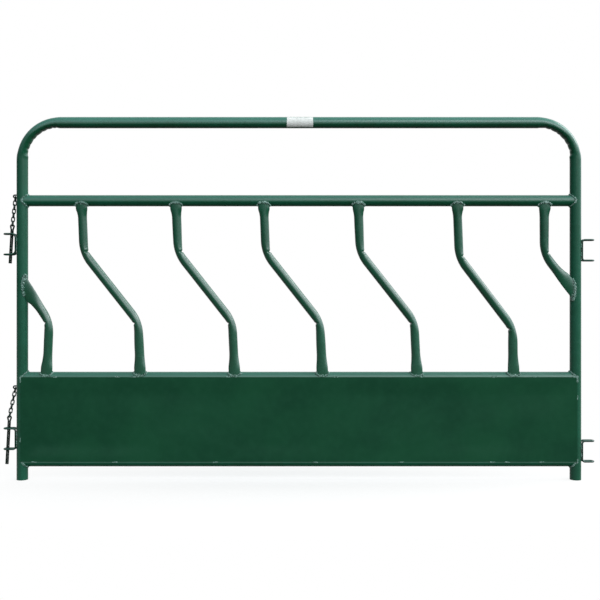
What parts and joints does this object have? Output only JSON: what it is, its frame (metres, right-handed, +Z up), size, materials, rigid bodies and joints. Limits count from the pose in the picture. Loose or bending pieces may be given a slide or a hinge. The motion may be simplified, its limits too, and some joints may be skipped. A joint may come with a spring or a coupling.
{
  "type": "hay feeder panel",
  "caption": "Bent-tube livestock feeder panel with slanted bars to reach hay through, a sheet at the bottom, and rod loops with chained pins to join panels.",
  "frame": {"origin": "on the ground under the middle of the panel, half way through its depth", "axes": "+X along the panel to the right as seen from the sheeted front, +Y to the back, +Z up"},
  "size_m": [2.552, 0.0506, 1.5658],
  "materials": {
    "outer_frame": "gloss green paint",
    "mid_rail": "gloss green paint",
    "sheet_rail": "gloss green paint",
    "bottom_rail": "gloss green paint",
    "slant_bar_1": "gloss green paint",
    "slant_bar_2": "gloss green paint",
    "slant_bar_3": "gloss green paint",
    "slant_bar_4": "gloss green paint",
    "slant_bar_5": "gloss green paint",
    "slant_bar_left_short": "gloss green paint",
    "slant_bar_right_short": "gloss green paint",
    "lower_sheet": "satin green paint",
    "connector_loop_upper_left": "green paint over rod",
    "connector_loop_upper_right": "green paint over rod",
    "connector_loop_lower_left": "green paint over rod",
    "connector_loop_lower_right": "green paint over rod",
    "chain_upper_anchor": "dark green paint, worn",
    "chain_lower_anchor": "dark green paint, worn",
    "coupling_pin_upper": "dark green paint, worn",
    "coupling_pin_lower": "dark green paint, worn",
    "chain_upper_link_1": "dark green paint, worn",
    "chain_upper_link_2": "dark green paint, worn",
    "chain_upper_link_3": "dark green paint, worn",
    "chain_upper_link_4": "dark green paint, worn",
    "chain_upper_link_5": "dark green paint, worn",
    "chain_upper_link_6": "dark green paint, worn",
    "chain_upper_link_7": "dark green paint, worn",
    "chain_lower_link_1": "dark green paint, worn",
    "chain_lower_link_2": "dark green paint, worn",
    "chain_lower_link_3": "dark green paint, worn",
    "chain_lower_link_4": "dark green paint, worn",
    "chain_lower_link_5": "dark green paint, worn",
    "chain_lower_link_6": "dark green paint, worn",
    "chain_lower_link_7": "dark green paint, worn"
  },
  "bodies": {
    "panel": {"outer_frame": "outer_frame", "mid_rail": "mid_rail", "sheet_rail": "sheet_rail", "bottom_rail": "bottom_rail", "lower_sheet": "lower_sheet", "slant_bar_1": "slant_bar_1", "slant_bar_2": "slant_bar_2", "slant_bar_3": "slant_bar_3", "slant_bar_4": "slant_bar_4", "slant_bar_5": "slant_bar_5", "slant_bar_left_short": "slant_bar_left_short", "slant_bar_right_short": "slant_bar_right_short", "connector_loop_upper_left": "connector_loop_upper_left", "connector_loop_upper_right": "connector_loop_upper_right", "connector_loop_lower_left": "connector_loop_lower_left", "connector_loop_lower_right": "connector_loop_lower_right", "chain_upper_anchor": "chain_upper_anchor", "chain_lower_anchor": "chain_lower_anchor"},
    "upper_pin": {"coupling_pin_upper": "coupling_pin_upper"},
    "upper_link_1": {"chain_upper_link_1": "chain_upper_link_1"},
    "upper_link_2": {"chain_upper_link_2": "chain_upper_link_2"},
    "upper_link_3": {"chain_upper_link_3": "chain_upper_link_3"},
    "upper_link_4": {"chain_upper_link_4": "chain_upper_link_4"},
    "upper_link_5": {"chain_upper_link_5": "chain_upper_link_5"},
    "upper_link_6": {"chain_upper_link_6": "chain_upper_link_6"},
    "upper_link_7": {"chain_upper_link_7": "chain_upper_link_7"},
    "lower_pin": {"coupling_pin_lower": "coupling_pin_lower"},
    "lower_link_1": {"chain_lower_link_1": "chain_lower_link_1"},
    "lower_link_2": {"chain_lower_link_2": "chain_lower_link_2"},
    "lower_link_3": {"chain_lower_link_3": "chain_lower_link_3"},
    "lower_link_4": {"chain_lower_link_4": "chain_lower_link_4"},
    "lower_link_5": {"chain_lower_link_5": "chain_lower_link_5"},
    "lower_link_6": {"chain_lower_link_6": "chain_lower_link_6"},
    "lower_link_7": {"chain_lower_link_7": "chain_lower_link_7"}
  },
  "joints": [
    {"name": "upper_pin_lift", "type": "slide", "parent": "panel", "child": "upper_pin", "axis": [-0.0499, 0, 0.9988], "range_m": [0, 0.142]},
    {"name": "upper_link_1_swing", "type": "hinge", "parent": "panel", "child": "upper_link_1", "pos_m": [-1.2282, 0.0101, 1.21811], "axis": [0.9988, 0, 0.0499], "range_deg": [0, 49]},
    {"name": "upper_link_2_swing", "type": "hinge", "parent": "upper_link_1", "child": "upper_link_2", "pos_m": [-1.22904, 0.0087, 1.20589], "axis": [0.9988, 0, 0.0499], "range_deg": [-34.6, 0]},
    {"name": "upper_link_3_swing", "type": "hinge", "parent": "upper_link_2", "child": "upper_link_3", "pos_m": [-1.2306, 0.00609, 1.18304], "axis": [0.9988, 0, 0.0499], "range_deg": [0, 94.5]},
    {"name": "upper_link_4_swing", "type": "hinge", "parent": "upper_link_3", "child": "upper_link_4", "pos_m": [-1.23148, 0.00463, 1.17021], "axis": [0.9988, 0, 0.0499], "range_deg": [0, 89.8]},
    {"name": "upper_link_5_swing", "type": "hinge", "parent": "upper_link_4", "child": "upper_link_5", "pos_m": [-1.23305, 0.00202, 1.14735], "axis": [0.9988, 0, 0.0499], "range_deg": [0, 12.9]},
    {"name": "upper_link_6_swing", "type": "hinge", "parent": "upper_link_5", "child": "upper_link_6", "pos_m": [-1.23393, 0.00055, 1.13452], "axis": [0.9988, 0, 0.0499], "range_deg": [0, 20.3]},
    {"name": "upper_link_7_swing", "type": "hinge", "parent": "upper_link_6", "child": "upper_link_7", "pos_m": [-1.23549, -0.00206, 1.11167], "axis": [0.9988, 0, 0.0499], "range_deg": [0, 30.6]},
    {"name": "lower_pin_lift", "type": "slide", "parent": "panel", "child": "lower_pin", "axis": [0.03, 0, 0.9996], "range_m": [0, 0.1602]},
    {"name": "lower_link_1_swing", "type": "hinge", "parent": "panel", "child": "lower_link_1", "pos_m": [-1.2282, 0.0101, 0.39146], "axis": [0.9996, 0, -0.03], "range_deg": [0, 84.1]},
    {"name": "lower_link_2_swing", "type": "hinge", "parent": "lower_link_1", "child": "lower_link_2", "pos_m": [-1.23034, 0.0087, 0.37941], "axis": [0.9996, 0, -0.03], "range_deg": [-27.1, 0]},
    {"name": "lower_link_3_swing", "type": "hinge", "parent": "lower_link_2", "child": "lower_link_3", "pos_m": [-1.23434, 0.00609, 0.35685], "axis": [0.9996, 0, -0.03], "range_deg": [0, 101.5]},
    {"name": "lower_link_4_swing", "type": "hinge", "parent": "lower_link_3", "child": "lower_link_4", "pos_m": [-1.23659, 0.00463, 0.34419], "axis": [0.9996, 0, -0.03], "range_deg": [0, 66.5]},
    {"name": "lower_link_5_swing", "type": "hinge", "parent": "lower_link_4", "child": "lower_link_5", "pos_m": [-1.24059, 0.00202, 0.32163], "axis": [0.9996, 0, -0.03], "range_deg": [0, 3.5]},
    {"name": "lower_link_6_swing", "type": "hinge", "parent": "lower_link_5", "child": "lower_link_6", "pos_m": [-1.24284, 0.00055, 0.30897], "axis": [0.9996, 0, -0.03], "range_deg": [0, 6.1]},
    {"name": "lower_link_7_swing", "type": "hinge", "parent": "lower_link_6", "child": "lower_link_7", "pos_m": [-1.24684, -0.00206, 0.28641], "axis": [0.9996, 0, -0.03], "range_deg": [0, 10.9]}
  ],
  "couplings": [
    {"joint": "upper_link_1_swing", "follows": "upper_pin_lift", "rad_per_m": 6.0103},
    {"joint": "upper_link_2_swing", "follows": "upper_pin_lift", "rad_per_m": -4.2404},
    {"joint": "upper_link_3_swing", "follows": "upper_pin_lift", "rad_per_m": 11.603},
    {"joint": "upper_link_4_swing", "follows": "upper_pin_lift", "rad_per_m": 11.013},
    {"joint": "upper_link_5_swing", "follows": "upper_pin_lift", "rad_per_m": 1.5733},
    {"joint": "upper_link_6_swing", "follows": "upper_pin_lift", "rad_per_m": 2.4705},
    {"joint": "upper_link_7_swing", "follows": "upper_pin_lift", "rad_per_m": 3.7488},
    {"joint": "lower_link_1_swing", "follows": "lower_pin_lift", "rad_per_m": 9.1515},
    {"joint": "lower_link_2_swing", "follows": "lower_pin_lift", "rad_per_m": -2.9416},
    {"joint": "lower_link_3_swing", "follows": "lower_pin_lift", "rad_per_m": 11.047},
    {"joint": "lower_link_4_swing", "follows": "lower_pin_lift", "rad_per_m": 7.2341},
    {"joint": "lower_link_5_swing", "follows": "lower_pin_lift", "rad_per_m": 0.37042},
    {"joint": "lower_link_6_swing", "follows": "lower_pin_lift", "rad_per_m": 0.64279},
    {"joint": "lower_link_7_swing", "follows": "lower_pin_lift", "rad_per_m": 1.1657}
  ]
}
